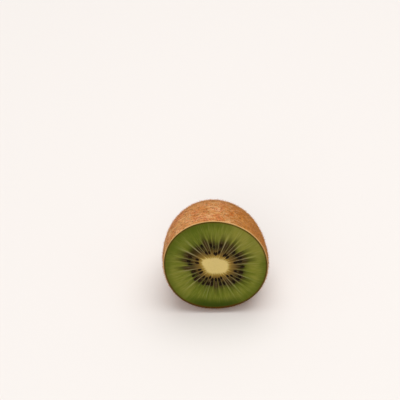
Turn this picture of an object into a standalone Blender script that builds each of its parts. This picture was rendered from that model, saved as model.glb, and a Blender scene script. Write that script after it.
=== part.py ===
"""Half of a kiwi fruit, cut across the middle and lying on its side.

Two solids: the flesh, with its skin, its seeds and the dried blossom end fused to it, and the pale
core, which runs from the cut towards the blossom end in a pocket of the flesh.

The fruit is shaped in its own frame: the cut is the plane y = 0, the fruit runs along +Y to its tip,
X is across the cut and Z is up it. An empty then leans that frame as the half lies on a table: the
tip sinks until the middle of its weight is over the spot that it lies on, so the cut looks a little up.
"""

import math
import random

import bmesh
import bpy
from mathutils import Matrix, Vector

MM = 0.001

# The whole half
CUT_RADIUS = 23.95 * MM  # mean radius of the skin at the cut
CUT_LOBES = (  # order, share of the radius, and where a lobe points, in degrees from +X
    (2, 0.0216, -19),
    (3, 0.0073, -7),
    (4, 0.0062, -41),
    (5, 0.0024, 18),
)
HALF_LENGTH = 39.5 * MM  # from the cut to the tip
BARREL_POWER = 2.6  # 2 is an ellipsoid; more is a barrel with blunt ends
LEAN = math.radians(13)  # how far the tip sinks when the half lies on its side
REST_SINK = 0.5 * MM  # how far its own weight flattens the side that it lies on
RIM_ROUND = 0.3 * MM  # the skin's edge at the cut

# The blossom end, at the tip
DIMPLE_DEPTH = 0.9 * MM
DIMPLE_RADIUS = 5.5 * MM
STUB_RADIUS = 2.6 * MM
STUB_HEIGHT = 1.9 * MM
STUB_ROOT = 2.0 * MM  # how far the stub reaches into the fruit
STUB_SIDES = 11
STUB_RIM = 0.85  # its outer and inner width at the top, as shares of its width at the root
STUB_MOUTH = 0.55
STUB_HOLLOW = 0.35  # height of the bottom of its cup, as a share of its own
STUB_RAGGED = 0.25  # how much its rim goes up and down

# The core, a long rounded hexagon at the cut that narrows towards the tip
CORE_RADIUS = 5.65 * MM  # mean radius of its pocket at the cut
CORE_LOBES = ((2, 0.210, -16), (3, 0.033, 10), (4, 0.035, -30))
CORE_DEPTH = 29.0 * MM
CORE_NARROWS = 0.45  # share of its width that it loses on the way
CORE_BLUNT = 6  # 2 rounds its deep end like a ball; more makes it flatter
CORE_GAP = 0.3 * MM

# The seed chambers round the core
CHAMBERS = 36
CHAMBER_DRIFT = ((2, 0.30, 40), (5, 0.22, 10), (9, 0.16, 75))  # order, in chambers, and degrees
CHAMBER_SINK = 0.35 * MM  # how far the soft pulp of a chamber lies under the cut
CHAMBER_FROM = 1.2 * MM  # from the core's edge
CHAMBER_TO = 12.5 * MM
SEED_HALF = Vector((1.05, 0.42, 0.60)) * MM  # half its length, thickness and width
SEED_POINTED = 0.35  # how much its inner end narrows
SEED_DEPTH = 0.10 * MM  # its middle under the cut
SEED_ROWS = (  # distance from the core's edge, and the share of chambers that have one
    (2.4 * MM, 0.50),
    (5.6 * MM, 0.75),
)
SEED_SCATTER = 0.75 * MM
SEED_ASIDE = 0.08  # how far from the middle of its chamber, in chambers
SEED_TURN = 9  # how far it turns from pointing to the middle, in degrees
SEED_DRAW = 11  # the random draw's start

# How finely the solids are cut
SPOKES_PER_CHAMBER = 3  # one on the wall between chambers, and the rest in the chamber
FACE_RINGS = 7
SKIN_RINGS = 18
SKIN_CROWDING = 1.2  # more than 1 crowds the skin's rings towards the cut
CORE_SPOKES = 36
CORE_RINGS = 6
SKIN_INNER_EDGE = 0.8  # faces further out than this share of the cut's radius are skin
CUT_NORMAL_Y = -0.5  # and faces whose normal has a smaller y than this are part of the cut

GREEN = (0.17, 0.20, 0.030)
BROWN = (0.42, 0.19, 0.065)
CREAM = (0.62, 0.46, 0.17)
BLACK = (0.012, 0.007, 0.004)


def lobed(angle, lobes):
    """1, plus each lobe's share in the direction of the angle."""
    return 1 + sum(share * math.cos(order * (angle - math.radians(at))) for order, share, at in lobes)


def chamber_angle(number):
    """Direction of the wall before chamber number, which may be a fraction: the chambers aren't all alike."""
    even = math.tau * number / CHAMBERS
    drift = sum(size * math.sin(order * even + math.radians(at)) for order, size, at in CHAMBER_DRIFT)
    return even + math.tau * drift / CHAMBERS


def cut_radius(angle):
    return CUT_RADIUS * lobed(angle, CUT_LOBES)


def core_radius(angle):
    """The outline of the core's pocket at the cut."""
    return CORE_RADIUS * lobed(angle, CORE_LOBES)


def at(angle, radius, depth):
    return Vector((radius * math.cos(angle), depth, radius * math.sin(angle)))


def skin_point(angle, turn):
    """A point of the skin, where turn runs from 0 at the cut to a quarter turn at the tip."""
    along = math.sin(turn) ** (2 / BARREL_POWER)
    across = max(math.cos(turn), 0.0) ** (2 / BARREL_POWER)
    radius = CUT_RADIUS * across * (1 + across * (lobed(angle, CUT_LOBES) - 1))
    dimple = DIMPLE_DEPTH * math.exp(-((radius / DIMPLE_RADIUS) ** 2))
    return at(angle, radius, HALF_LENGTH * along - dimple)


def cut_point(number, share):
    """A point of the cut face, where share runs from 0 at the core's pocket to 1 at the skin's edge."""
    angle = chamber_angle(number / SPOKES_PER_CHAMBER)
    inner = core_radius(angle)
    radius = inner + share * (cut_radius(angle) - RIM_ROUND - inner)
    from_core = radius - inner
    in_chamber = number % SPOKES_PER_CHAMBER != 0 and CHAMBER_FROM < from_core < CHAMBER_TO
    swell = math.sin(math.pi * (from_core - CHAMBER_FROM) / (CHAMBER_TO - CHAMBER_FROM))
    return at(angle, radius, CHAMBER_SINK * swell if in_chamber else 0.0)


def pocket_point(angle, share, inset):
    """A point of the core's side, or of its pocket's, share of the way from the cut to its end."""
    radius = core_radius(angle) * (1 - CORE_NARROWS * share) - inset
    round_end = math.sqrt(max(1 - share**CORE_BLUNT, 0.0))
    return at(angle, radius * round_end, CORE_DEPTH * share)


def new_object(name, mesh, *colours):
    mesh.name = name
    obj = bpy.data.objects.new(name, mesh)
    bpy.context.scene.collection.objects.link(obj)
    for label, colour, roughness in colours:
        obj.data.materials.append(finish(label, colour, roughness))
    return obj


def finish(label, colour, roughness):
    material = bpy.data.materials.get(label) or bpy.data.materials.new(label)
    material.use_nodes = True
    shader = material.node_tree.nodes["Principled BSDF"]
    shader.inputs["Base Color"].default_value = (*colour, 1)
    shader.inputs["Roughness"].default_value = roughness
    shader.inputs["Metallic"].default_value = 0.0
    return material


def mesh_of(shape):
    bmesh.ops.recalc_face_normals(shape, faces=shape.faces)
    mesh = bpy.data.meshes.new("shape")
    shape.to_mesh(mesh)
    shape.free()
    mesh.shade_smooth()
    mesh.set_sharp_from_angle(angle=math.radians(40))
    return mesh


def loft(shape, rings):
    """Skins a list of rings that have as many points each. A ring of one point closes an end."""
    rows = [[shape.verts.new(point) for point in ring] for ring in rings]
    for one, two in zip(rows, rows[1:]):
        count = max(len(one), len(two))
        for i in range(count):
            j = (i + 1) % count
            corners = [one[i % len(one)], one[j % len(one)], two[j % len(two)], two[i % len(two)]]
            shape.faces.new(list(dict.fromkeys(corners)))


def flesh_mesh():
    """The flesh with its skin: down the core's pocket, over the cut and round the barrel to the tip."""
    spokes = range(CHAMBERS * SPOKES_PER_CHAMBER)
    angles = [chamber_angle(n / SPOKES_PER_CHAMBER) for n in spokes]
    deep_to_cut = [1 - ring / CORE_RINGS for ring in range(1, CORE_RINGS)]
    rings = [[Vector((0, CORE_DEPTH + CORE_GAP, 0))]]
    rings += [[pocket_point(a, share, 0) for a in angles] for share in deep_to_cut]
    rings += [[cut_point(n, ring / FACE_RINGS) for n in spokes] for ring in range(FACE_RINGS + 1)]
    rings.append([at(a, cut_radius(a), RIM_ROUND) for a in angles])
    for ring in range(1, SKIN_RINGS):
        turn = math.pi / 2 * (ring / SKIN_RINGS) ** SKIN_CROWDING
        rings.append([skin_point(a, turn) for a in angles])
    rings.append([skin_point(0, math.pi / 2)])
    shape = bmesh.new()
    loft(shape, rings)
    return shape


def core_mesh():
    """The core, a gap smaller than its pocket all round."""
    angles = [math.tau * n / CORE_SPOKES for n in range(CORE_SPOKES)]
    shares = [ring / CORE_RINGS for ring in range(CORE_RINGS)]
    rings = [[Vector((0, 0, 0))]]
    rings += [[pocket_point(a, share, CORE_GAP) for a in angles] for share in shares]
    rings.append([Vector((0, CORE_DEPTH - CORE_GAP, 0))])
    shape = bmesh.new()
    loft(shape, rings)
    return mesh_of(shape)


def seed_places():
    """Where the seeds lie: (angle, distance from the middle, turn on the cut) of each."""
    draw = random.Random(SEED_DRAW)
    places = []
    for chamber in range(CHAMBERS):
        for distance, share in SEED_ROWS:
            has_seed = draw.random() < share
            angle = chamber_angle(chamber + 0.5 + draw.uniform(-SEED_ASIDE, SEED_ASIDE))
            radius = core_radius(angle) + distance + draw.uniform(-SEED_SCATTER, SEED_SCATTER)
            turn = math.radians(draw.uniform(-SEED_TURN, SEED_TURN))
            if has_seed:
                places.append((angle, radius, turn))
    return places


def seed_object(number, angle, radius, turn):
    """A flattened drop that points to the core, a little more than half sunk in the flesh."""
    shape = bmesh.new()
    bmesh.ops.create_uvsphere(shape, u_segments=6, v_segments=4, radius=1)
    lay_down = Matrix.Rotation(math.radians(90), 4, "Y")
    spin = Matrix.Rotation(-(angle + turn), 4, "Y")
    place = Matrix.Translation(at(angle, radius, SEED_DEPTH)) @ spin
    for vert in shape.verts:
        drop = lay_down @ vert.co
        narrow = 1 - SEED_POINTED * max(-drop.x, 0)
        drop = Vector((drop.x, drop.y * narrow, drop.z * narrow))
        vert.co = place @ Vector(a * b for a, b in zip(drop, SEED_HALF))
    return new_object(f"seed_{number:02d}", mesh_of(shape), ("seed", BLACK, 0.3))


def stub_object():
    """The dried flower's stub: a low cup with a ragged rim."""
    base = HALF_LENGTH - DIMPLE_DEPTH
    shape = bmesh.new()
    angles = [math.tau * n / STUB_SIDES for n in range(STUB_SIDES)]
    rim = [STUB_HEIGHT * (1 + STUB_RAGGED * math.sin(5 * n)) for n in range(STUB_SIDES)]
    rings = [[Vector((0, base - STUB_ROOT, 0))]]
    rings.append([at(a, STUB_RADIUS, base - STUB_ROOT) for a in angles])
    rings.append([at(a, STUB_RIM * STUB_RADIUS, base + high) for a, high in zip(angles, rim)])
    rings.append([at(a, STUB_MOUTH * STUB_RADIUS, base + high) for a, high in zip(angles, rim)])
    rings.append([Vector((0, base + STUB_HOLLOW * STUB_HEIGHT, 0))])
    loft(shape, rings)
    return new_object("stub", mesh_of(shape), ("stub", BLACK, 0.9))


def lean_of_fruit(shape):
    """The leaned frame, placed so that the side's flat lies on z = 0 and its box is over the origin."""
    lean = Matrix.Rotation(-LEAN, 4, "X")
    lowest = min((lean @ vert.co).z for vert in shape.verts)
    return Matrix.Translation((0, 0, -lowest - REST_SINK)) @ lean


def flatten_side(shape, frame):
    """Cuts the fruit off at the table, which leaves the flat spot that it lies on."""
    inward = frame.inverted()
    cut = bmesh.ops.bisect_plane(
        shape,
        geom=shape.verts[:] + shape.edges[:] + shape.faces[:],
        plane_co=inward @ Vector((0, 0, 0)),
        plane_no=inward.to_3x3() @ Vector((0, 0, -1)),
        clear_outer=True,
    )
    edges = [part for part in cut["geom_cut"] if isinstance(part, bmesh.types.BMEdge)]
    bmesh.ops.contextual_create(shape, geom=edges)


def fuse(body, pieces):
    """Joins the pieces to the body by one union, and removes them."""
    group = bpy.data.collections.new("fused")
    bpy.context.scene.collection.children.link(group)
    for piece in pieces:
        bpy.context.scene.collection.objects.unlink(piece)
        group.objects.link(piece)
    union = body.modifiers.new("fused", "BOOLEAN")
    union.operation = "UNION"
    union.solver = "EXACT"
    union.operand_type = "COLLECTION"
    union.material_mode = "TRANSFER"
    union.collection = group
    graph = bpy.context.evaluated_depsgraph_get()
    joined = bpy.data.meshes.new_from_object(body.evaluated_get(graph))
    body.modifiers.remove(union)
    body.data = joined
    for piece in pieces:
        bpy.data.objects.remove(piece)
    bpy.data.collections.remove(group)


def colour_skin(flesh):
    """Gives the barrel's outside the skin's material."""
    flesh.data.materials.append(finish("skin", BROWN, 0.85))
    skin = len(flesh.data.materials) - 1
    for face in flesh.data.polygons:
        middle = face.center
        far_out = math.hypot(middle.x, middle.z) > SKIN_INNER_EDGE * CUT_RADIUS
        on_barrel = far_out and face.normal.y > CUT_NORMAL_Y
        beyond_core = middle.y > CORE_DEPTH + CORE_GAP
        if face.material_index == 0 and (on_barrel or beyond_core):
            face.material_index = skin


def centre_box(frame, flesh):
    """Moves the leaned frame until the middle of the fruit's box is over the origin."""
    points = [frame @ vert.co for vert in flesh.data.vertices]
    middle_x = (min(p.x for p in points) + max(p.x for p in points)) / 2
    middle_y = (min(p.y for p in points) + max(p.y for p in points)) / 2
    return Matrix.Translation((-middle_x, -middle_y, 0)) @ frame


def main():
    for old in list(bpy.data.objects):
        bpy.data.objects.remove(old)
    shape = flesh_mesh()
    frame = lean_of_fruit(shape)
    flatten_side(shape, frame)
    flesh = new_object("flesh", mesh_of(shape), ("flesh", GREEN, 0.35))
    seeds = [seed_object(n, *place) for n, place in enumerate(seed_places())]
    fuse(flesh, [*seeds, stub_object()])
    colour_skin(flesh)
    core = new_object("core", core_mesh(), ("core", CREAM, 0.5))
    lying = bpy.data.objects.new("lying_fruit", None)
    bpy.context.scene.collection.objects.link(lying)
    lying.matrix_world = centre_box(frame, flesh)
    flesh.parent = lying
    core.parent = lying


main()
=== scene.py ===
"""Looks of the kiwi fruit half: its cut flesh with the seeds in it, the core, the skin and its fuzz.

Every piece is shaped in the fruit's own frame, where the cut is the plane y = 0, the fruit runs along +Y
to its tip and Z is up the cut. Lengths there are in millimetres. Each finished mesh is then leaned and
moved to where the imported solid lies.

Three labels on the meshes tell the materials and the fuzz where they are:
cut_place: number of the seed chamber, distance out from the core's edge, distance in from the rim
cut_way: direction out from the fruit's middle, as its cosine and sine
skin_place: 1 on the skin's outside and 0 on its inside, distance from the cut
"""

import math
import random

import bmesh
import bpy
from mathutils import Matrix, Vector

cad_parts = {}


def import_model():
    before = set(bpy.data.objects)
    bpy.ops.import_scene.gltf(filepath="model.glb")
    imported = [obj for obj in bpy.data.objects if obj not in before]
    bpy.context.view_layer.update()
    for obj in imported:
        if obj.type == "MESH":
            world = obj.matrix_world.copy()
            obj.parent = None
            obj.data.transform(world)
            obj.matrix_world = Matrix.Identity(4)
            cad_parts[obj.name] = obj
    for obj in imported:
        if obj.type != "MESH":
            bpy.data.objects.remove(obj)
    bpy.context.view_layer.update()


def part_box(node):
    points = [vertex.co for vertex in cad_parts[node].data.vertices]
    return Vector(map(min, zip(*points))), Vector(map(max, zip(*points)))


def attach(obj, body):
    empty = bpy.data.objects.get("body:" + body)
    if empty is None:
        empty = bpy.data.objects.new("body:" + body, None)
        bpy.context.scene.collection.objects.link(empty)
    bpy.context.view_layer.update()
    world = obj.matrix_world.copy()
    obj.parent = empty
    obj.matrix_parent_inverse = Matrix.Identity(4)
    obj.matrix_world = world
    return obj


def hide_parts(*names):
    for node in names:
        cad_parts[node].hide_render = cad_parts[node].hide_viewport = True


MM = 0.001

# The fruit, as its solids have it. Lobes are (order, share of the radius, degrees at which they peak).
CUT_RADIUS = 23.95
CUT_LOBES = ((2, 0.0216, -19), (3, 0.0073, -7), (4, 0.0062, -41), (5, 0.0024, 18))
HALF_LENGTH = 39.5
BARREL_POWER = 2.6
LEAN = math.radians(13)
DIMPLE_DEPTH = 0.9
DIMPLE_RADIUS = 5.5
STUB_RADIUS = 2.6
STUB_HEIGHT = 1.9
CORE_RADIUS = 5.65
CORE_LOBES = ((2, 0.210, -16), (3, 0.033, 10), (4, 0.035, -30))
CORE_DEPTH = 29.0
CORE_NARROWS = 0.45  # share of its radius that it loses on the way to its deep end
CORE_BLUNT = 6
CHAMBERS = 36
CHAMBER_DRIFT = ((2, 0.30, 40), (5, 0.22, 10), (9, 0.16, 75))  # (order, share of a chamber, degrees)
CHAMBER_FROM = 1.2  # out from the core's edge
CHAMBER_TO = 12.5
SEED_HALF = (1.05, 0.42, 0.60)  # half its length, thickness and width
SEED_POINTED = 0.35
SEED_DEPTH = 0.10  # of its middle under the cut
SEED_ROWS = ((2.4, 0.50), (5.6, 0.75))  # (out from the core's edge, share of the chambers with a seed)
SEED_SCATTER = 0.75
SEED_ASIDE = 0.08  # share of a chamber
SEED_TURN = 9  # degrees
SEED_DRAW = 11
BARREL_COLUMNS = CHAMBERS * 3
BARREL_ROWS = 18
BARREL_CROWDING = 1.2
BARREL_ROWS_TO_BOX = 13  # rows from the cut that hold every point that touches the box

# What the solids are too coarse to show
SKIN_THICK = 0.45
CREAM_RADIUS = 4.97
CREAM_LOBES = ((2, 0.200, -11), (3, 0.037, 18), (4, 0.042, -24), (5, 0.042, 14), (6, 0.027, -28))
RIM_LIP = 0.06  # how far the skin's edge stands over the pulp
PULP_SINK = 0.35  # how far the pulp of a chamber lies under the walls beside it
WALL_RISE = 0.06  # how far a wall stands over the cut
CORE_SWELL = 0.10  # how far the core's end bulges out of the cut
CORE_GAP = 0.01  # between the core's side and its pocket
CORE_SHORT = 0.2  # how far the core ends before its pocket does
STUB_LIP = 0.55  # share of the cup's rows that climb its outside, before the rest turn into its hollow
STUB_ROOT = 1.2  # how deep the cup's foot is set in the skin
STUB_CUP = 0.8  # the cup's share of the solid stub's height, which the stalks make up
STUB_HOLLOW = 0.62  # how deep its hollow is, as a share of its height
STALK_RING = 0.62  # radius of the stalks' ring, as a share of the cup's
STALK_RADIUS = 0.11

# How finely the meshes are cut
SKIN_COLUMNS = 300
SKIN_OUTER_ROWS = 112
SKIN_INNER_ROWS = 28
SKIN_CROWDING = 1.6  # more than 1 crowds the rows towards the cut
COLUMNS_PER_CHAMBER = 12
POCKET_ROWS = 6
FACE_ROWS = 100
BODY_ROWS = 14
CORE_COLUMNS_PER_CHAMBER = 6
CORE_FACE_ROWS = 30
CORE_SIDE_ROWS = 10
STUB_COLUMNS = 44
STUB_ROWS = 22
SEED_SEGMENTS = 14
SEED_RINGS = 9
HAIR_SIDES = 3
CLOSED_WITHIN = 0.002

# What would reach under the table is pressed nearly flat
PRESSED_DEPTH = 2.2  # a little deeper than any hair would reach
PRESSED_LEFT = 0.05  # the share that is left of each depth

# Where the tones of the cut come or go: from and to, in millimetres out from the core's edge
RIPE_BEGINS = (4, 10)
# Painted shade on the cut's upper left comes in over this span
PAINTED_SHADE_BEGINS = (8, 15)
RAYS_END = (5, 14)
FINGERS_END = (6, 12.5)
RING_BEGINS = (-0.3, 1.8)
RING_DARKENS = (1.0, 5.5)
RING_ENDS = (5.6, 9.0)
# In millimetres out from the cream's edge
CREAM_ENDS = (-0.7, 0.7)
CORE_EDGE_ENDS = (0.0, 1.9)
CORE_BROWN_ENDS = (0.6, 5.0)
# And in millimetres in from the rim
RIM_LINE_ENDS = (0.15, 0.90)
RIM_GREEN_ENDS = (0.8, 4.8)
# Painted shade along the bottom of the rim, fading out in from the rim over this span
RIM_PAINTED_SHADE_ENDS = (1.4, 6.5)

# Where the tones of the peel come or go, in millimetres from the middle of the fruit's underside
MOTTLING_BEGINS = (16, 32)  # upwards
MOTTLING_ENDS = (-6, 8)  # towards the tip
AMBER_BEGINS = (1, 14)  # to the right
# Painted shade darkens the peel's cut edge low down and fades out upwards over this span
EDGE_PAINTED_SHADE_FADES = (6, 28)  # upwards, on the peel's cut edge
EDGE_ENDS = (0.1, 0.5)  # in from the cut

NOISE_STRETCH = 3.2  # makes noise that stays near 0.5 fill -1 to 1

# Kept apart: the numbers drawn for chambers, for the walls between them and for the thin walls inside them
WALL_DRAWS = 100
THIN_DRAWS = 200

# The photograph's frame
FRAME_WIDE = 400
CUT_MIDDLE_PX = (215.4, 265.8)
PX_PER_MM = 2.16
VIEW_AZIMUTH = math.radians(-1.3)
VIEW_ELEVATION = math.radians(43)
LENS = 180
SENSOR = 36
SEEN_FROM = 0.01
SEEN_TO = 20

# The studio, in metres. Each light is (place, width, watts, colour).
FLOOR_WIDE = 6
KEY_LIGHT = ((0.10, 0.25, 1.3), 1.5, 15.5, (1.0, 0.985, 0.96))
FRONT_LIGHT = ((-0.3, -1.3, 1.0), 1.3, 8, (1.0, 0.99, 0.97))
LIGHTS_FACE = (0, 0, 0.02)
ROOM_LIGHT = (1.0, 0.98, 0.96, 1)
ROOM_STRENGTH = 0.46


def has_formula(values):
    return any(isinstance(value, Formula) for value in values)


class Formula:
    """A value that Math nodes work out. Arithmetic on one, also with plain numbers, adds the nodes."""

    def __init__(self, tree, socket):
        self.tree = tree
        self.socket = socket

    def __add__(self, other):
        return math_node("ADD", self, other)

    __radd__ = __add__

    def __sub__(self, other):
        return math_node("SUBTRACT", self, other)

    def __rsub__(self, other):
        return math_node("SUBTRACT", other, self)

    def __mul__(self, other):
        return math_node("MULTIPLY", self, other)

    __rmul__ = __mul__

    def __truediv__(self, other):
        return math_node("DIVIDE", self, other)

    def __pow__(self, other):
        return math_node("POWER", self, other)

    def __neg__(self):
        return math_node("MULTIPLY", self, -1.0)


def plug(tree, value, socket):
    """Feeds a formula, a socket or a plain value to an input."""
    if isinstance(value, Formula):
        tree.links.new(value.socket, socket)
    elif isinstance(value, bpy.types.NodeSocket):
        tree.links.new(value, socket)
    else:
        socket.default_value = value


def math_node(operation, *values):
    tree = next(value.tree for value in values if isinstance(value, Formula))
    node = tree.nodes.new("ShaderNodeMath")
    node.operation = operation
    for value, socket in zip(values, node.inputs):
        plug(tree, value, socket)
    return Formula(tree, node.outputs[0])


def either(operation, plain):
    """A function that works on numbers, and adds a Math node where it meets a formula."""

    def work(*values):
        return math_node(operation, *values) if has_formula(values) else plain(*values)

    return work


sine = either("SINE", math.sin)
cosine = either("COSINE", math.cos)
root = either("SQRT", math.sqrt)
size_of = either("ABSOLUTE", abs)
larger = either("MAXIMUM", max)
smaller = either("MINIMUM", min)
fraction = either("FRACT", lambda value: value - math.floor(value))
whole = either("FLOOR", math.floor)
exponential = either("EXPONENT", math.exp)


def share_of(value, low, high):
    """0 at low and before, 1 at high and after."""
    return larger(smaller((value - low) / (high - low), 1.0), 0.0)


def ease(value, low, high):
    """As share_of, with a soft start and end."""
    share = share_of(value, low, high)
    return share * share * (3 - 2 * share)


def hump(value, low, high):
    """0 outside low and high, and 1 half way between them."""
    share = share_of(value, low, high)
    return 4 * share * (1 - share)


def lobed(angle, lobes):
    total = 1.0
    for order, share, at in lobes:
        total = total + share * cosine(order * angle - order * math.radians(at))
    return total


def chamber_angle(number):
    """Direction of the wall before chamber number, which may be a fraction."""
    even = math.tau / CHAMBERS * number
    total = even
    for order, size, at in CHAMBER_DRIFT:
        total = total + math.tau / CHAMBERS * size * sine(order * even + math.radians(at))
    return total


def towards_wall(number):
    """0 in the middle of a chamber, and 1 at the walls on both its sides."""
    return size_of(2 * fraction(number) - 1)


def core_radius(angle):
    return CORE_RADIUS * lobed(angle, CORE_LOBES)


def barrel(angle, turn, inset):
    """(radius, depth) of the skin, or of a layer inset under it. turn is 0 at the cut."""
    along = sine(turn) ** (2 / BARREL_POWER)
    across = larger(cosine(turn), 0.0) ** (2 / BARREL_POWER)
    radius = (CUT_RADIUS - inset) * across * (1 + across * (lobed(angle, CUT_LOBES) - 1))
    near_tip = radius / DIMPLE_RADIUS
    dimple = DIMPLE_DEPTH * exponential(-(near_tip * near_tip))
    return radius, (HALF_LENGTH - inset) * along - dimple


class NodeTree:
    """What geometry and material trees share."""

    def add(self, kind, **values):
        """A node. A key that names an input, with _ for a space, feeds it. Others set a property."""
        node = self.tree.nodes.new(kind)
        for key, value in values.items():
            if hasattr(node, key):
                setattr(node, key, value)
        for key, value in values.items():
            if not hasattr(node, key):
                label = key.replace("_", " ")
                plug(self.tree, value, next(s for s in node.inputs if s.name == label and s.enabled))
        return node

    def parts(self, vector):
        node = self.add("ShaderNodeSeparateXYZ", Vector=vector)
        return [Formula(self.tree, socket) for socket in node.outputs]

    def vector(self, x, y, z):
        return self.add("ShaderNodeCombineXYZ", X=x, Y=y, Z=z).outputs[0]

    def round_point(self, radius, depth, angle):
        """The point at a radius from the fruit's middle, at a depth from the cut."""
        return self.vector(radius * cosine(angle), depth, radius * sine(angle))

    def scaled(self, vector, scale):
        return self.add("ShaderNodeVectorMath", operation="SCALE", Vector=vector, Scale=scale).outputs[0]

    def noise(self, place, scale, detail=2.0, roughness=0.5):
        """Noise about 0, mostly between -1 and 1."""
        node = self.add("ShaderNodeTexNoise", Vector=place, Scale=scale, Detail=detail, Roughness=roughness)
        return (Formula(self.tree, node.outputs[0]) - 0.5) * NOISE_STRETCH

    def draw(self, place):
        """A number from 0 to 1 that jumps from place to place."""
        node = self.add("ShaderNodeTexWhiteNoise", noise_dimensions="1D", W=place)
        return Formula(self.tree, node.outputs[0])


class Recipe(NodeTree):
    """A Geometry Nodes tree with named inputs, and the mesh that it makes."""

    def __init__(self, name, **sizes):
        self.tree = bpy.data.node_groups.new(name, "GeometryNodeTree")
        self.values = {}
        face = self.tree.interface
        face.new_socket("Geometry", in_out="INPUT", socket_type="NodeSocketGeometry")
        for label, value in sizes.items():
            kind = "NodeSocketInt" if isinstance(value, int) else "NodeSocketFloat"
            item = face.new_socket(label.replace("_", " "), in_out="INPUT", socket_type=kind)
            self.values[item.identifier] = value
        face.new_socket("Geometry", in_out="OUTPUT", socket_type="NodeSocketGeometry")
        self.inputs = self.add("NodeGroupInput")

    def given(self, label):
        return Formula(self.tree, self.inputs.outputs[label])

    def base(self):
        """The geometry that the tree starts from."""
        return self.inputs.outputs["Geometry"]

    def position(self):
        return self.add("GeometryNodeInputPosition").outputs[0]

    def moved(self, geometry, place):
        return self.add("GeometryNodeSetPosition", Geometry=geometry, Position=place).outputs[0]

    def keep(self, geometry, label, value):
        """Stores a vector under a label at each face's corners, so that a seam doesn't blur it."""
        node = self.add("GeometryNodeStoreNamedAttribute", data_type="FLOAT_VECTOR", domain="CORNER")
        plug(self.tree, geometry, node.inputs["Geometry"])
        plug(self.tree, label, node.inputs["Name"])
        plug(self.tree, value, next(s for s in node.inputs if s.name == "Value" and s.enabled))
        return node.outputs[0]

    def kept(self, label):
        node = self.add("GeometryNodeInputNamedAttribute", data_type="FLOAT_VECTOR")
        plug(self.tree, label, node.inputs["Name"])
        return next(s for s in node.outputs if s.enabled)

    def random(self, low, high, seed):
        kind = "FLOAT_VECTOR" if isinstance(low, tuple) else "FLOAT"
        node = self.add("FunctionNodeRandomValue", data_type=kind, Min=low, Max=high, Seed=seed)
        socket = next(s for s in node.outputs if s.enabled)
        return socket if kind == "FLOAT_VECTOR" else Formula(self.tree, socket)

    def sum_of(self, first, second):
        node = self.add("ShaderNodeVectorMath", operation="ADD")
        plug(self.tree, first, node.inputs[0])
        plug(self.tree, second, node.inputs[1])
        return node.outputs[0]

    def copies(self, points, shape, turn, scale):
        """The shape at each point, turned and scaled."""
        node = self.add("GeometryNodeInstanceOnPoints", Points=points, Instance=shape)
        plug(self.tree, turn, node.inputs["Rotation"])
        plug(self.tree, scale, node.inputs["Scale"])
        return node.outputs[0]

    def make(self, geometry, material, base=None):
        """Ends the tree, runs it once on an object and returns the plain mesh."""
        real = self.add("GeometryNodeRealizeInstances", Geometry=geometry)
        smooth = self.add("GeometryNodeSetShadeSmooth", Geometry=real.outputs[0])
        coated = self.add("GeometryNodeSetMaterial", Geometry=smooth.outputs[0], Material=material)
        end = self.add("NodeGroupOutput")
        self.tree.links.new(coated.outputs[0], end.inputs[0])
        maker = bpy.data.objects.new("maker", base or bpy.data.meshes.new("maker"))
        bpy.context.scene.collection.objects.link(maker)
        modifier = maker.modifiers.new("recipe", "NODES")
        modifier.node_group = self.tree
        for identifier, value in self.values.items():
            modifier[identifier] = value
        graph = bpy.context.evaluated_depsgraph_get()
        made = bpy.data.meshes.new_from_object(maker.evaluated_get(graph))
        maker.modifiers.remove(modifier)
        bpy.data.objects.remove(maker)
        return made


def sheet(recipe, columns, rows):
    """A sheet to be rolled up, and the column and row of each of its points as shares from 0 to 1."""
    sizes = {"Size_X": 1.0, "Size_Y": 1.0, "Vertices_X": columns + 1, "Vertices_Y": rows + 1}
    grid = recipe.add("GeometryNodeMeshGrid", **sizes)
    x, y, _ = recipe.parts(recipe.position())
    return grid.outputs[0], x + 0.5, y + 0.5


def rolled(recipe, geometry, angle, radius, depth):
    """Rolls the sheet up, and closes its seam and its poles."""
    round_sheet = recipe.moved(geometry, recipe.round_point(radius, depth, angle))
    closed = recipe.add("GeometryNodeMergeByDistance", Geometry=round_sheet, Distance=CLOSED_WITHIN)
    return closed.outputs[0]


def skin_mesh(material):
    """The skin: from the tip along its outside, round its edge at the cut, and back along its inside."""
    recipe = Recipe("kiwi_skin", Dent=0.22, Ripple=0.07)
    rows = SKIN_OUTER_ROWS + SKIN_INNER_ROWS
    geometry, column, row = sheet(recipe, SKIN_COLUMNS, rows)
    from_rim = row * rows - SKIN_INNER_ROWS
    outside = share_of(from_rim, 0, SKIN_OUTER_ROWS)
    inside = share_of(-from_rim, 0, SKIN_INNER_ROWS)
    turn = math.pi / 2 * (outside + inside) ** SKIN_CROWDING
    under = ease(-from_rim, -1, 1)
    angle = chamber_angle(column * CHAMBERS)
    radius, depth = barrel(angle, turn, SKIN_THICK * under)
    smooth_place = recipe.round_point(radius, depth, angle)
    away_from_rim = ease(depth, 0.3, 5.0) * (1 - under)
    dents = recipe.given("Dent") * recipe.noise(smooth_place, 0.07, 1.0)
    ripples = recipe.given("Ripple") * recipe.noise(smooth_place, 0.45, 2.0)
    radius = radius * (1 + away_from_rim * (dents + ripples) / CUT_RADIUS)
    depth = depth - RIM_LIP * hump(from_rim, -1, 1)
    geometry = recipe.keep(geometry, "skin_place", recipe.vector(1 - under, depth, 0.0))
    return recipe.make(rolled(recipe, geometry, angle, radius, depth), material)


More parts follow.
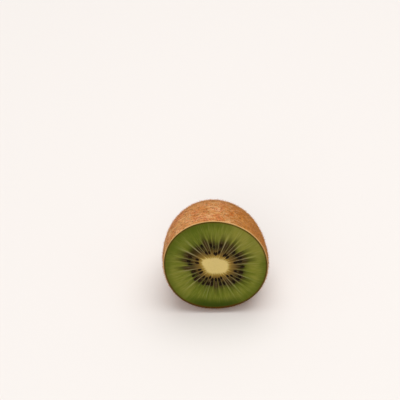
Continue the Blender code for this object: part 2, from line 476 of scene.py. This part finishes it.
def flesh_mesh(material):
    """The pulp: up the core's pocket, across the cut to the skin, and along under the skin to the tip."""
    recipe = Recipe("kiwi_flesh", Pulp_sink=PULP_SINK, Wall_rise=WALL_RISE, Grain=0.035)
    rows = POCKET_ROWS + FACE_ROWS + BODY_ROWS
    geometry, column, row = sheet(recipe, CHAMBERS * COLUMNS_PER_CHAMBER, rows)
    down_pocket = 1 - share_of(row * rows, 0, POCKET_ROWS)
    across_face = share_of(row * rows, POCKET_ROWS, POCKET_ROWS + FACE_ROWS)
    to_tip = share_of(row * rows, POCKET_ROWS + FACE_ROWS, rows)
    number = column * CHAMBERS
    angle = chamber_angle(number)
    core = core_radius(angle)
    rim, body_depth = barrel(angle, math.pi / 2 * to_tip, SKIN_THICK)
    pocket = (1 - CORE_NARROWS * down_pocket) * root(larger(1 - down_pocket**CORE_BLUNT, 0.0))
    radius = core * pocket * (1 - across_face) + rim * across_face
    from_core = radius - core
    wall = ease(towards_wall(number), 0.55, 0.95)
    in_ring = hump(from_core, CHAMBER_FROM * 0.5, CHAMBER_TO)
    place = recipe.round_point(radius, 0.0, angle)
    grain = recipe.given("Grain") * recipe.noise(place, 0.9, 3.0)
    uneven = 1 + 0.35 * recipe.noise(place, 0.22, 1.0)
    relief = recipe.given("Pulp sink") * in_ring * (1 - wall) * uneven
    relief = relief - recipe.given("Wall rise") * in_ring * wall + grain
    on_face = ease(across_face, 0.0, 0.03) * (1 - ease(across_face, 0.985, 1.0))
    depth = relief * on_face + CORE_DEPTH * down_pocket + body_depth * ease(to_tip, 0, 1 / BODY_ROWS)
    from_rim = (rim - radius) * (1 - ease(to_tip, 0, 0.01))
    geometry = recipe.keep(geometry, "cut_place", recipe.vector(number, from_core, from_rim))
    geometry = recipe.keep(geometry, "cut_way", recipe.vector(cosine(angle), sine(angle), 0.0))
    return recipe.make(rolled(recipe, geometry, angle, radius, depth), material)


def core_mesh(material):
    """The core: its end at the cut, and down its side to its blunt deep end."""
    recipe = Recipe("kiwi_core", Swell=CORE_SWELL, Grain=0.03)
    rows = CORE_FACE_ROWS + CORE_SIDE_ROWS
    geometry, column, row = sheet(recipe, CHAMBERS * CORE_COLUMNS_PER_CHAMBER, rows)
    across = share_of(row * rows, 0, CORE_FACE_ROWS)
    down = share_of(row * rows, CORE_FACE_ROWS, rows)
    number = column * CHAMBERS
    angle = chamber_angle(number)
    edge = core_radius(angle) - CORE_GAP
    radius = edge * across * (1 - CORE_NARROWS * down) * root(larger(1 - down**CORE_BLUNT, 0.0))
    place = recipe.round_point(radius, 0.0, angle)
    grain = recipe.given("Grain") * recipe.noise(place, 1.1, 3.0) * (1 - ease(across, 0.9, 1.0))
    swell = recipe.given("Swell") * (1 - across * across)
    depth = grain - swell + (CORE_DEPTH - CORE_SHORT) * down
    from_core = radius - core_radius(angle)
    geometry = recipe.keep(geometry, "cut_place", recipe.vector(number, from_core, CUT_RADIUS))
    geometry = recipe.keep(geometry, "cut_way", recipe.vector(cosine(angle), sine(angle), 0.0))
    return recipe.make(rolled(recipe, geometry, angle, radius, depth), material)


def seed_points():
    """A mesh of one point a seed, each with the turn that points it to the core."""
    draw = random.Random(SEED_DRAW)
    places = []
    turns = []
    for chamber in range(CHAMBERS):
        for distance, share in SEED_ROWS:
            has_seed = draw.random() < share
            angle = chamber_angle(chamber + 0.5 + draw.uniform(-SEED_ASIDE, SEED_ASIDE))
            radius = core_radius(angle) + distance + draw.uniform(-SEED_SCATTER, SEED_SCATTER)
            turn = math.radians(draw.uniform(-SEED_TURN, SEED_TURN))
            if has_seed:
                places.append((radius * math.cos(angle), SEED_DEPTH, radius * math.sin(angle)))
                turns.append((0.0, -(angle + turn), 0.0))
    mesh = bpy.data.meshes.new("seed_points")
    mesh.from_pydata(places, [], [])
    kept = mesh.attributes.new("turn", "FLOAT_VECTOR", "POINT")
    for item, turn in zip(kept.data, turns):
        item.vector = turn
    return mesh


def seed_mesh(material):
    """The seeds: flat drops, pointed end to the core, a little more than half sunk."""
    recipe = Recipe("kiwi_seeds", Size_spread=0.12, Sunk_spread=0.10)
    ball = recipe.add("GeometryNodeMeshUVSphere", Segments=SEED_SEGMENTS, Rings=SEED_RINGS, Radius=1.0)
    x, y, z = recipe.parts(recipe.position())
    narrow = 1 - SEED_POINTED * larger(-z, 0.0)
    length, thick, wide = SEED_HALF
    seed = recipe.moved(ball.outputs[0], recipe.vector(length * z, thick * y * narrow, -wide * x * narrow))
    aim = recipe.add("FunctionNodeEulerToRotation", Euler=recipe.kept("turn"))
    size = 1 + recipe.given("Size spread") * recipe.random(-1.0, 1.0, 3)
    sunk = recipe.vector(0.0, recipe.given("Sunk spread") * recipe.random(-0.6, 1.0, 8), 0.0)
    points = recipe.add("GeometryNodeSetPosition", Geometry=recipe.base(), Offset=sunk).outputs[0]
    seeds = recipe.copies(points, seed, aim.outputs[0], recipe.vector(size, size, size))
    return recipe.make(seeds, material, seed_points())


def hair_shape(recipe, segments, root_radius):
    """One hair of length 1 along +Z, bent towards +X by the tree's Bend."""
    cone = {"Vertices": HAIR_SIDES, "Side_Segments": segments, "Depth": 1.0}
    hair = recipe.add("GeometryNodeMeshCone", Radius_Top=0.0, Radius_Bottom=root_radius, **cone)
    x, y, z = recipe.parts(recipe.position())
    return recipe.moved(hair.outputs[0], recipe.vector(x + recipe.given("Bend") * z * z, y, z))


def fuzz_mesh(label, skin, material, segments, **sizes):
    """Short hairs all over the outside of the skin."""
    recipe = Recipe(label, **sizes)
    outside, depth, _ = recipe.parts(recipe.kept("skin_place"))
    patches = larger(1 + 0.45 * recipe.noise(recipe.position(), 0.35, 2.0), 0.1)
    density = recipe.given("Density") * patches * ease(outside, 0.9, 1.0) * ease(depth, *EDGE_ENDS)
    grown = recipe.add("GeometryNodeDistributePointsOnFaces", Mesh=recipe.base(), Density=density)
    plug(recipe.tree, recipe.given("Seed"), grown.inputs["Seed"])
    stray = recipe.random((-1.0, -1.0, -1.0), (1.0, 1.0, 1.0), 21)
    leaning = recipe.sum_of(grown.outputs["Normal"], recipe.scaled(stray, recipe.given("Spread")))
    combed = recipe.sum_of(leaning, recipe.vector(0.0, recipe.given("Comb"), 0.0))
    aim = recipe.add("FunctionNodeAlignRotationToVector", axis="Z", Vector=combed)
    spin = recipe.add("FunctionNodeAxisAngleToRotation", Axis=(0.0, 0.0, 1.0))
    plug(recipe.tree, recipe.random(0.0, math.tau, 5), spin.inputs["Angle"])
    turned = recipe.add("FunctionNodeRotateRotation", rotation_space="LOCAL")
    plug(recipe.tree, aim.outputs[0], turned.inputs["Rotation"])
    plug(recipe.tree, spin.outputs[0], turned.inputs["Rotate By"])
    long = recipe.given("Length") * (1 + recipe.given("Length spread") * recipe.random(-1.0, 1.0, 9))
    thick = recipe.given("Root radius")
    shape = hair_shape(recipe, segments, 1.0)
    hairs = recipe.copies(grown.outputs[0], shape, turned.outputs[0], recipe.vector(thick, thick, long))
    return recipe.make(hairs, material, skin.copy())


def stub_mesh(material):
    """The dried flower's stub: a rough low cup, and round its rim the dried ends of the flower's stalks."""
    stalk_sizes = {"Stalk_length": 2.1, "Stalk_ring": STALK_RING * STUB_RADIUS, "Bend": 0.35}
    recipe = Recipe("blossom_stub", Stalks=17, **stalk_sizes)
    base = HALF_LENGTH - DIMPLE_DEPTH
    geometry, column, row = sheet(recipe, STUB_COLUMNS, STUB_ROWS)
    out = share_of(row, 0.0, STUB_LIP)
    back = share_of(row, STUB_LIP, 1.0)
    angle = math.tau * column
    ragged = 1 + 0.16 * sine(5 * angle + 0.6) + 0.10 * sine(9 * angle + 2.0)
    swell = root(larger(1 - (1 - out) * (1 - out), 0.0))
    rough = recipe.noise(recipe.vector(2 * cosine(angle), 3 * row, 2 * sine(angle)), 1.6, 3.0)
    radius = STUB_RADIUS * swell * (1 - 0.22 * out) * (1 - back) * (1 + 0.07 * rough)
    height = STUB_CUP * STUB_HEIGHT * (ragged * out - STUB_HOLLOW * ease(back, 0.1, 0.7))
    sunk = STUB_ROOT * (1 - ease(out, 0, 0.25))
    cup = rolled(recipe, geometry, angle, radius, base - sunk + height)
    stalks, ring_radius = recipe.given("Stalks"), recipe.given("Stalk ring")
    ring = recipe.add("GeometryNodeMeshCircle", Vertices=stalks, Radius=ring_radius)
    x, y, _ = recipe.parts(recipe.position())
    roots = recipe.moved(ring.outputs[0], recipe.vector(x, base + 0.2, y))
    aim = recipe.add("FunctionNodeAlignRotationToVector", axis="Z")
    plug(recipe.tree, recipe.random((-0.5, 0.6, -0.5), (0.5, 1.0, 0.5), 12), aim.inputs["Vector"])
    long = recipe.given("Stalk length") * recipe.random(0.55, 1.0, 3)
    stalk = hair_shape(recipe, 3, STALK_RADIUS)
    dried = recipe.copies(roots, stalk, aim.outputs[0], recipe.vector(1.0, 1.0, long))
    both = recipe.add("GeometryNodeJoinGeometry")
    recipe.tree.links.new(dried, both.inputs[0])
    recipe.tree.links.new(cup, both.inputs[0])
    return recipe.make(both.outputs[0], material)


class Paint(NodeTree):
    """A material on one Principled shader."""

    def __init__(self, name, **finish):
        self.material = bpy.data.materials.new(name)
        self.material.use_nodes = True
        self.tree = self.material.node_tree
        self.shader = self.tree.nodes["Principled BSDF"]
        for key, value in finish.items():
            self.shader.inputs[key.replace("_", " ")].default_value = value

    def place(self):
        """A point of the piece in millimetres, as the fruit lies on the table."""
        return self.scaled(self.add("ShaderNodeTexCoord").outputs["Object"], 1 / MM)

    def kept_parts(self, label):
        return self.parts(self.add("ShaderNodeAttribute", attribute_name=label).outputs["Vector"])

    def mix(self, share, below, above):
        """Colour below where share is 0, and above where it is 1."""
        node = self.add("ShaderNodeMix", data_type="RGBA")
        plug(self.tree, share, node.inputs["Factor"])
        colours = [socket for socket in node.inputs if socket.type == "RGBA"]
        plug(self.tree, below, colours[0])
        plug(self.tree, above, colours[1])
        return next(socket for socket in node.outputs if socket.type == "RGBA")

    def colour(self, value):
        plug(self.tree, value, self.shader.inputs["Base Color"])

    def roughness(self, value):
        plug(self.tree, value, self.shader.inputs["Roughness"])

    def bump(self, height, distance):
        node = self.add("ShaderNodeBump", Strength=1.0, Distance=distance * MM, Height=height)
        plug(self.tree, node.outputs[0], self.shader.inputs["Normal"])


def tone(red, green, blue):
    """A colour from 0 to 255 as it shows, made linear for a shader."""
    linear = [((value / 255 + 0.055) / 1.055) ** 2.4 for value in (red, green, blue)]
    return (*linear, 1.0)


PULP_GREEN = tone(112, 118, 36)
PULP_OLIVE = tone(140, 134, 58)
# The pulp's own deep green in its streaks, and also the colour of the painted shade on the upper left and
# low down
PULP_DEEP_AND_SHADE = tone(86, 99, 22)
PULP_PALE = tone(160, 157, 98)
PULP_RIM = tone(76, 88, 16)
# Painted shade: the dark green laid along the bottom of the rim
RIM_PAINTED_SHADE = tone(50, 66, 6)
# Brown of the pulp's outermost line and the peel's inside, and also the painted shade on the low part of
# the peel's cut edge
RIM_LINE_AND_SHADE = tone(80, 52, 10)
CHAMBER_DARK = tone(44, 34, 8)
CHAMBER_BROWN = tone(92, 70, 34)
CHAMBER_GREEN = tone(68, 73, 14)
WALL_PALE = tone(152, 137, 108)
CORE_BROWN = tone(132, 104, 48)
CORE_EDGE = tone(166, 137, 62)
CORE_CREAM = tone(217, 194, 125)
SKIN_TAN = tone(228, 174, 102)
SKIN_ORANGE = tone(212, 115, 44)
SKIN_ROSE = tone(234, 148, 112)
SKIN_PALE = tone(244, 218, 168)
SKIN_DARK = tone(104, 64, 28)
SKIN_AMBER = tone(200, 128, 36)
SKIN_BROWN = tone(166, 112, 60)
SKIN_EDGE = tone(222, 178, 112)
SKIN_SHEEN = tone(240, 190, 130)
FUZZ_TAN = tone(236, 184, 120)
FUZZ_BROWN = tone(184, 118, 60)
SEED_BLACK = tone(20, 10, 1)
SEED_BROWN = tone(54, 26, 8)
STUB_BROWN = tone(92, 64, 40)
STUB_TAN = tone(146, 108, 70)
TABLE_PALE = tone(226, 222, 220)
WARM_SHINE = (1.0, 0.80, 0.45, 1.0)


class CutPoint:
    """What the tones of the cut go by at a point of it."""

    def __init__(self, paint):
        self.number, self.from_core, self.from_rim = paint.kept_parts("cut_place")
        self.way_x, self.way_z, _ = paint.kept_parts("cut_way")
        self.place = paint.place()
        self.streaks = self.rays(paint, 13, 0.07, 3.0)
        self.threads = self.rays(paint, 55, 0.22, 2.0)
        self.clouds = paint.noise(self.place, 0.09, 2.0)
        self.grain = paint.noise(self.place, 1.3, 3.0, 0.6)
        self.across = towards_wall(self.number)
        self.wall = ease(self.across + 0.06 * self.grain, 0.72, 1.0)
        self.own = paint.draw(whole(self.number) + 0.5)
        nearest_wall = whole(fraction((self.number + 0.5) / CHAMBERS) * CHAMBERS)
        self.own_wall = paint.draw(nearest_wall + WALL_DRAWS + 0.5)
        own_thin = paint.draw(whole(2 * self.number + 0.5) + THIN_DRAWS + 0.5)
        in_middle = ease(towards_wall(2 * self.number) + 0.10 * self.grain, 0.70, 1.0)
        self.thin_wall = in_middle * own_thin * (1 - self.wall)

    def rays(self, paint, fineness, along, detail):
        """Noise in rays from the fruit's middle. along is how much it changes in a millimetre outwards."""
        place = paint.vector(fineness * self.way_x, fineness * self.way_z, along * self.from_core)
        return paint.noise(place, 1.0, detail)


def green_pulp(paint, at):
    """Green out to the rim: olive at the upper right, painted shade at the upper left and low down, with
    pale rays.
    """
    # low marks the bottom of the cut, where shade is painted along the rim
    low = ease(-at.way_z, 0.76, 1.0)
    ripe_side = ease(0.74 * at.way_x + 0.67 * at.way_z + 0.15 * at.clouds, 0.70, 1.0)
    # Painted shade on the upper left of the cut
    painted_shade_side = ease(0.77 * at.way_z - 0.64 * at.way_x + 0.15 * at.clouds, 0.65, 1.0)
    lightness = share_of(0.6 + 0.35 * at.clouds + 0.42 * at.streaks + 0.2 * at.threads, 0, 1)
    green = paint.mix(lightness, PULP_DEEP_AND_SHADE, PULP_GREEN)
    olive = ease(0.6 * at.clouds + 0.5 * at.streaks + 0.7 * at.threads, -0.5, 1.0)
    green = paint.mix(olive * 0.6, green, PULP_OLIVE)
    green = paint.mix(ripe_side * ease(at.from_core, *RIPE_BEGINS) * 0.55, green, PULP_OLIVE)
    # Painted shade on the upper left, in the outer green
    green = paint.mix(painted_shade_side * ease(at.from_core, *PAINTED_SHADE_BEGINS) * 0.6, green, PULP_DEEP_AND_SHADE)
    # Painted shade: the green darkens towards the bottom of the cut
    green = paint.mix(ease(-at.way_z, 0.0, 0.8) * 0.16, green, PULP_DEEP_AND_SHADE)
    green = paint.mix(ease(at.threads, 0.0, 1.0) * 0.25, green, PULP_PALE)

    fading = 1 - ease(at.from_core - 6 * (at.own_wall - 0.5), *RAYS_END)
    ray = ease(at.across + 0.12 * at.grain, 0.62, 1.0) * (0.15 + 0.85 * at.own_wall) * fading
    green = paint.mix((ray + 0.5 * at.thin_wall * fading) * 0.5, green, PULP_PALE)
    finger_reach = at.from_core - 4 * (at.own - 0.5) - 1.2 * at.way_z
    finger = (1 - ease(at.across, 0.35, 0.95)) * (1 - ease(finger_reach, *FINGERS_END))
    green = paint.mix(finger * (0.55 + 0.45 * at.own), green, CHAMBER_GREEN)

    near_rim = 1 - ease(at.from_rim + 0.8 * at.clouds, *RIM_GREEN_ENDS)
    green = paint.mix(near_rim * (0.7 - 0.6 * ripe_side), green, PULP_RIM)
    # Painted shade along the bottom of the rim
    green = paint.mix((1 - ease(at.from_rim, *RIM_PAINTED_SHADE_ENDS)) * low, green, RIM_PAINTED_SHADE)
    # The brown line at the rim is the pulp's own; its widening and darkening low down is painted shade
    line = 1 - ease(at.from_rim + 0.12 * at.grain - 0.25 * low, *RIM_LINE_ENDS)
    return paint.mix(line * (0.75 + 0.25 * low), green, RIM_LINE_AND_SHADE)


def seed_ring(paint, at, pulp):
    """Dark chambers with pale walls between them and thin ones inside them, laid over the pulp's colour."""
    reach = at.from_core - 2.6 * (at.own - 0.5) + 0.5 * at.grain - 0.9 * at.way_z
    seedy = ease(at.from_core, *RING_BEGINS) * (1 - ease(reach, *RING_ENDS))
    deep = ease(at.from_core + 0.5 * at.grain, *RING_DARKENS)
    chamber = paint.mix(deep * (1 - 0.35 * at.own), CHAMBER_BROWN, CHAMBER_DARK)
    pulp = paint.mix(seedy * (1 - at.wall) * 0.96, pulp, chamber)
    pulp = paint.mix(seedy * at.wall * 0.55, pulp, chamber)
    pulp = paint.mix(seedy * at.wall * (0.1 + 0.75 * at.own_wall), pulp, WALL_PALE)
    return paint.mix(seedy * at.thin_wall * 0.5, pulp, WALL_PALE)


def from_cream(at):
    """Distance out from the cream's edge, which runs out along the walls."""
    angle = chamber_angle(at.number)
    distance = at.from_core + core_radius(angle) - CREAM_RADIUS * lobed(angle, CREAM_LOBES)
    return distance - 1.5 * at.wall * (0.2 + at.own_wall) + 0.35 * at.grain - 0.2 * at.streaks


def core_end(paint, at, edge, pulp):
    """The core's cream and the brown that it fades into, laid over the pulp's colour."""
    pulp = paint.mix((1 - ease(edge, *CORE_BROWN_ENDS)) * 0.9, pulp, CORE_BROWN)
    pulp = paint.mix(1 - ease(edge, *CORE_EDGE_ENDS), pulp, CORE_EDGE)
    cream = paint.mix(ease(at.grain + 0.5 * at.threads, -0.4, 1.4) * 0.22, CORE_CREAM, CORE_EDGE)
    return paint.mix(1 - ease(edge, *CREAM_ENDS), pulp, cream)


def pulp_paint():
    """The cut: a cream core, dark seed chambers between pale walls, and green pulp out to the rim."""
    paint = Paint("cut_pulp", Specular_IOR_Level=0.10, Specular_Tint=WARM_SHINE, Subsurface_Weight=0.25)
    paint.shader.inputs["Subsurface Radius"].default_value = (0.9, 1.1, 0.4)
    paint.shader.inputs["Subsurface Scale"].default_value = 0.5 * MM
    at = CutPoint(paint)
    edge = from_cream(at)
    pulp = seed_ring(paint, at, green_pulp(paint, at))
    paint.colour(core_end(paint, at, edge, pulp))
    fine = paint.noise(at.place, 4.0, 3.0, 0.6)
    paint.roughness(0.34 + 0.04 * fine + 0.14 * (1 - ease(edge, *CREAM_ENDS)))
    paint.bump(0.6 * fine + 0.8 * at.threads, 0.05)
    return paint.material


def skin_tones(paint):
    """(colour, height) of the peel: tan, orange and rose in fine streaks round it, with dark flecks."""
    place = paint.place()
    x, y, z = paint.parts(place)
    depth = math.cos(LEAN) * y - math.sin(LEAN) * z
    up = math.sin(LEAN) * y + math.cos(LEAN) * z
    round_fruit = paint.vector(0.45 * x, 1.5 * depth, 0.45 * up)
    clouds = paint.noise(place, 0.08, 2.0)
    patches = paint.noise(place, 0.19, 2.0)
    flecks = paint.noise(place, 1.1, 3.0, 0.7)
    streaks = paint.noise(round_fruit, 0.80, 3.0, 0.68)
    rosy = paint.noise(round_fruit, 1.05, 3.0, 0.7) - 0.025 * larger(x, 0.0)
    mottled = ease(up, *MOTTLING_BEGINS) * (1 - ease(depth, *MOTTLING_ENDS))
    colour = paint.mix(ease(0.4 * clouds + streaks, -0.45, 0.35), SKIN_ORANGE, SKIN_TAN)
    rose_share = ease(rosy + 0.5 * patches, 0.0, 0.55) * (0.36 + 0.5 * mottled)
    colour = paint.mix(rose_share, colour, SKIN_ROSE)
    pale_share = ease(streaks - 0.5 * rosy + 0.3 * patches, 0.1, 0.65) * (0.55 + 0.4 * mottled)
    colour = paint.mix(pale_share, colour, SKIN_PALE)
    amber_share = ease(x + 6 * clouds, *AMBER_BEGINS) * (0.6 + 0.2 * mottled)
    colour = paint.mix(amber_share, colour, SKIN_AMBER)
    colour = paint.mix((1 - mottled) * 0.3, colour, SKIN_BROWN)
    colour = paint.mix(ease(flecks - 0.4 * streaks, 0.0, 0.6) * 0.85, colour, SKIN_DARK)
    return colour, flecks + streaks


def skin_paint():
    """Thin dry peel. Its cut edge is pale outside, darkened low down by painted shade, and dark against the
    pulp.
    """
    sheen = {"Sheen_Weight": 0.15, "Sheen_Roughness": 0.5, "Sheen_Tint": SKIN_SHEEN}
    paint = Paint("kiwi_peel", Specular_IOR_Level=0.3, **sheen)
    outside, depth, _ = paint.kept_parts("skin_place")
    colour, height = skin_tones(paint)
    place = paint.place()
    _, _, up = paint.parts(place)
    pores = paint.noise(place, 4.5, 2.0, 0.6)
    colour = paint.mix(ease(pores, 0.2, 1.0) * 0.5, colour, SKIN_DARK)
    # Painted shade: the cut edge is dark low down and its own pale tan higher up
    edge = paint.mix(ease(up, *EDGE_PAINTED_SHADE_FADES), RIM_LINE_AND_SHADE, SKIN_EDGE)
    colour = paint.mix(1 - ease(depth, *EDGE_ENDS), colour, edge)
    paint.colour(paint.mix(1 - ease(outside, 0.25, 0.65), colour, RIM_LINE_AND_SHADE))
    paint.roughness(0.75 + 0.06 * pores)
    paint.bump(0.6 * height + 0.4 * pores, 0.14)
    return paint.material


def fuzz_paint(name, tint):
    """Hairs take the peel's tones under them, and a tint of their own."""
    paint = Paint(name, Roughness=0.6, Specular_IOR_Level=0.3)
    colour, _ = skin_tones(paint)
    paint.colour(paint.mix(0.15, colour, tint))
    return paint.material


def seed_paint():
    """Nearly black and wet, some of the seeds browner than others."""
    paint = Paint("seed_coat", Specular_IOR_Level=0.12, Specular_Tint=WARM_SHINE)
    place = paint.place()
    spots = paint.noise(place, 1.6, 3.0)
    whole_seeds = paint.noise(place, 0.3, 1.0)
    paint.colour(paint.mix(ease(whole_seeds + 0.4 * spots, -0.2, 1.2), SEED_BLACK, SEED_BROWN))
    paint.roughness(0.3 + 0.06 * spots)
    paint.bump(spots, 0.03)
    return paint.material


def stub_paint():
    paint = Paint("dried_stub")
    spots = paint.noise(paint.place(), 1.5, 4.0, 0.65)
    paint.colour(paint.mix(ease(spots, -0.6, 1.0), STUB_BROWN, STUB_TAN))
    paint.roughness(0.88 + 0.08 * spots)
    paint.bump(spots, 0.15)
    return paint.material


def barrel_points():
    """The skin's points near the cut, as the solid has them: they touch the solid's box."""
    points = []
    for column in range(BARREL_COLUMNS):
        angle = chamber_angle(column * CHAMBERS / BARREL_COLUMNS)
        for row in range(BARREL_ROWS_TO_BOX):
            turn = math.pi / 2 * (row / BARREL_ROWS) ** BARREL_CROWDING
            radius, depth = barrel(angle, turn, 0)
            points.append(Vector((radius * math.cos(angle), depth, radius * math.sin(angle))))
    return points


def placement():
    """From the fruit's frame to the solid's place: leaned, and fitted to its box's sides, front and top."""
    low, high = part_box("flesh")
    lean = Matrix.Rotation(-LEAN, 4, "X") @ Matrix.Scale(MM, 4)
    leaned = [lean @ point for point in barrel_points()]
    left, right = min(p.x for p in leaned), max(p.x for p in leaned)
    front, top = min(p.y for p in leaned), max(p.z for p in leaned)
    move = Vector(((low[0] + high[0] - left - right) / 2, low[1] - front, high[2] - top))
    return Matrix.Translation(move) @ lean


def settle(mesh, lying):
    """Leans and moves the mesh to its place, and presses what would reach under the table nearly flat."""
    mesh.transform(lying)
    for vert in mesh.vertices:
        vert.co.z = max(vert.co.z, PRESSED_LEFT * (vert.co.z + PRESSED_DEPTH * MM))


def piece(name, mesh, lying):
    settle(mesh, lying)
    mesh.name = name
    obj = bpy.data.objects.new(name, mesh)
    bpy.context.scene.collection.objects.link(obj)
    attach(obj, "root")
    return obj


def facing_out(mesh):
    """The closed mesh with its faces turned outwards."""
    shape = bmesh.new()
    shape.from_mesh(mesh)
    if shape.calc_volume(signed=True) < 0:
        bmesh.ops.reverse_faces(shape, faces=shape.faces[:])
    shape.to_mesh(mesh)
    shape.free()
    return mesh


def dress(lying):
    """Every piece of the fruit."""
    pulp = pulp_paint()
    peel = facing_out(skin_mesh(skin_paint()))
    down = fuzz_mesh(
        "kiwi_down", peel, fuzz_paint("down", FUZZ_TAN), 1, Density=8.5, Length=0.55,
        Length_spread=0.4, Root_radius=0.05, Spread=1.1, Comb=0.25, Bend=0.0, Seed=3,
    )
    bristles = fuzz_mesh(
        "kiwi_bristles", peel, fuzz_paint("bristle", FUZZ_BROWN), 2, Density=3.2, Length=1.0,
        Length_spread=0.45, Root_radius=0.045, Spread=1.0, Comb=0.3, Bend=0.35, Seed=8,
    )
    flesh = piece("flesh_cut", facing_out(flesh_mesh(pulp)), lying)
    core = piece("core_cut", facing_out(core_mesh(pulp)), lying)
    piece("peel", peel, lying)
    piece("down", down, lying)
    piece("bristles", bristles, lying)
    piece("seeds", seed_mesh(seed_paint()), lying)
    piece("blossom_end", stub_mesh(stub_paint()), lying)
    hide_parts("flesh")
    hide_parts("core")


def floor():
    bpy.ops.mesh.primitive_plane_add(size=FLOOR_WIDE, location=(0, 0, 0))
    plane = bpy.context.active_object
    plane.name = "table_top"
    paint = Paint("table", Roughness=0.6, Base_Color=TABLE_PALE)
    plane.data.materials.append(paint.material)


def softbox(name, place, width, power, colour):
    """A round area light that faces the fruit."""
    light = bpy.data.lights.new(name, "AREA")
    light.shape = "DISK"
    light.size = width
    light.energy = power
    light.color = colour
    obj = bpy.data.objects.new(name, light)
    bpy.context.scene.collection.objects.link(obj)
    obj.location = place
    obj.rotation_euler = (Vector(LIGHTS_FACE) - Vector(place)).to_track_quat("-Z", "Y").to_euler()


def lighting():
    softbox("key", *KEY_LIGHT)
    softbox("front", *FRONT_LIGHT)
    world = bpy.data.worlds.new("studio")
    world.use_nodes = True
    room = world.node_tree.nodes["Background"]
    room.inputs["Color"].default_value = ROOM_LIGHT
    room.inputs["Strength"].default_value = ROOM_STRENGTH
    bpy.context.scene.world = world
    bpy.context.scene.view_settings.view_transform = "Standard"


def camera(lying):
    """Looks down on the cut from far off, with the cut's middle where the photograph has it."""
    target = lying @ Vector((0, 0, 0))
    wide = SENSOR / LENS
    distance = FRAME_WIDE / PX_PER_MM * MM / wide
    side, height = math.cos(VIEW_ELEVATION), math.sin(VIEW_ELEVATION)
    back = Vector((math.sin(VIEW_AZIMUTH) * side, -math.cos(VIEW_AZIMUTH) * side, height))
    right = (CUT_MIDDLE_PX[0] / FRAME_WIDE - 0.5) * wide
    below = (CUT_MIDDLE_PX[1] / FRAME_WIDE - 0.5) * wide
    reach = math.sqrt(1 + right * right + below * below)
    tilt = math.asin(reach * height / math.hypot(1, below)) - math.atan(below)
    turn = math.atan2(right, math.cos(tilt) - below * math.sin(tilt))
    lens = bpy.data.cameras.new("view")
    lens.lens = LENS
    lens.sensor_width = SENSOR
    lens.clip_start = SEEN_FROM
    lens.clip_end = SEEN_TO
    obj = bpy.data.objects.new("view", lens)
    bpy.context.scene.collection.objects.link(obj)
    obj.location = target + back * distance * reach
    obj.rotation_euler = (math.pi / 2 - tilt, 0, VIEW_AZIMUTH + turn)
    bpy.context.scene.camera = obj


def main():
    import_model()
    lying = placement()
    dress(lying)
    floor()
    lighting()
    camera(lying)


main()
